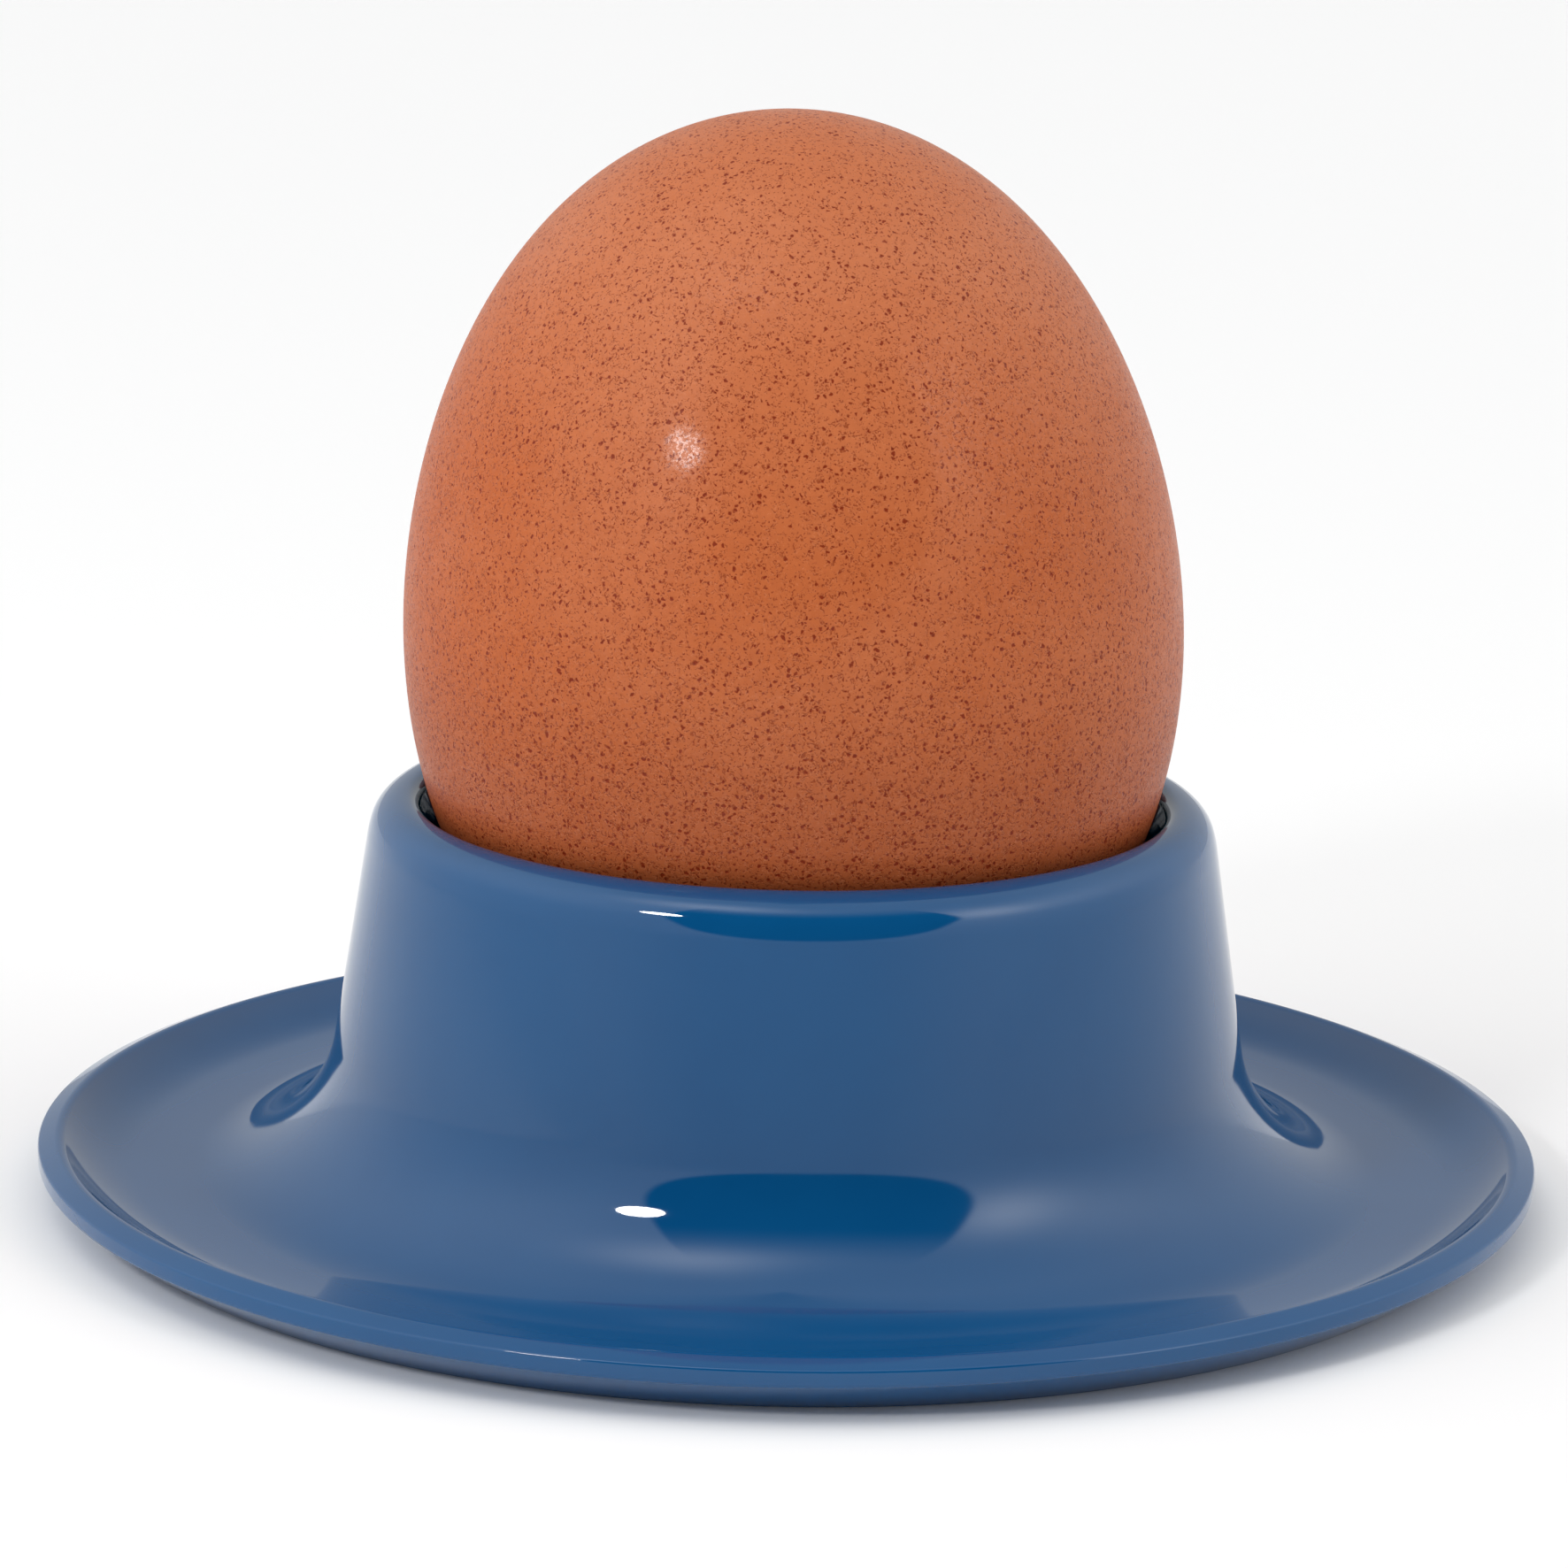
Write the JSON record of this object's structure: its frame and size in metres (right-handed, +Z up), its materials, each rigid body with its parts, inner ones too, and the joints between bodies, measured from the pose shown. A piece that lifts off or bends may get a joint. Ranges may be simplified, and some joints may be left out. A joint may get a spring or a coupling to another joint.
{
  "type": "boiled egg in egg cup",
  "caption": "Brown boiled hen's egg standing in a round plastic egg cup with a raised collar and a shallow saucer rim.",
  "frame": {"origin": "centre of the cup's foot ring, on the surface the cup stands on, which is also the bottom centre of the bounding box", "axes": "+Z up along the cup's axis, -Y towards the viewer, +X to the viewer's right; the egg's tip leans slightly towards -X"},
  "size_m": [0.085, 0.085, 0.0616],
  "materials": {
    "cup_plastic": "smooth polished moulded plastic, deep blue",
    "eggshell": "brown eggshell, slightly sheened, with fine dark speckles and pores"
  },
  "bodies": {
    "root": {"egg_cup": "cup_plastic", "egg": "eggshell"}
  },
  "joints": []
}
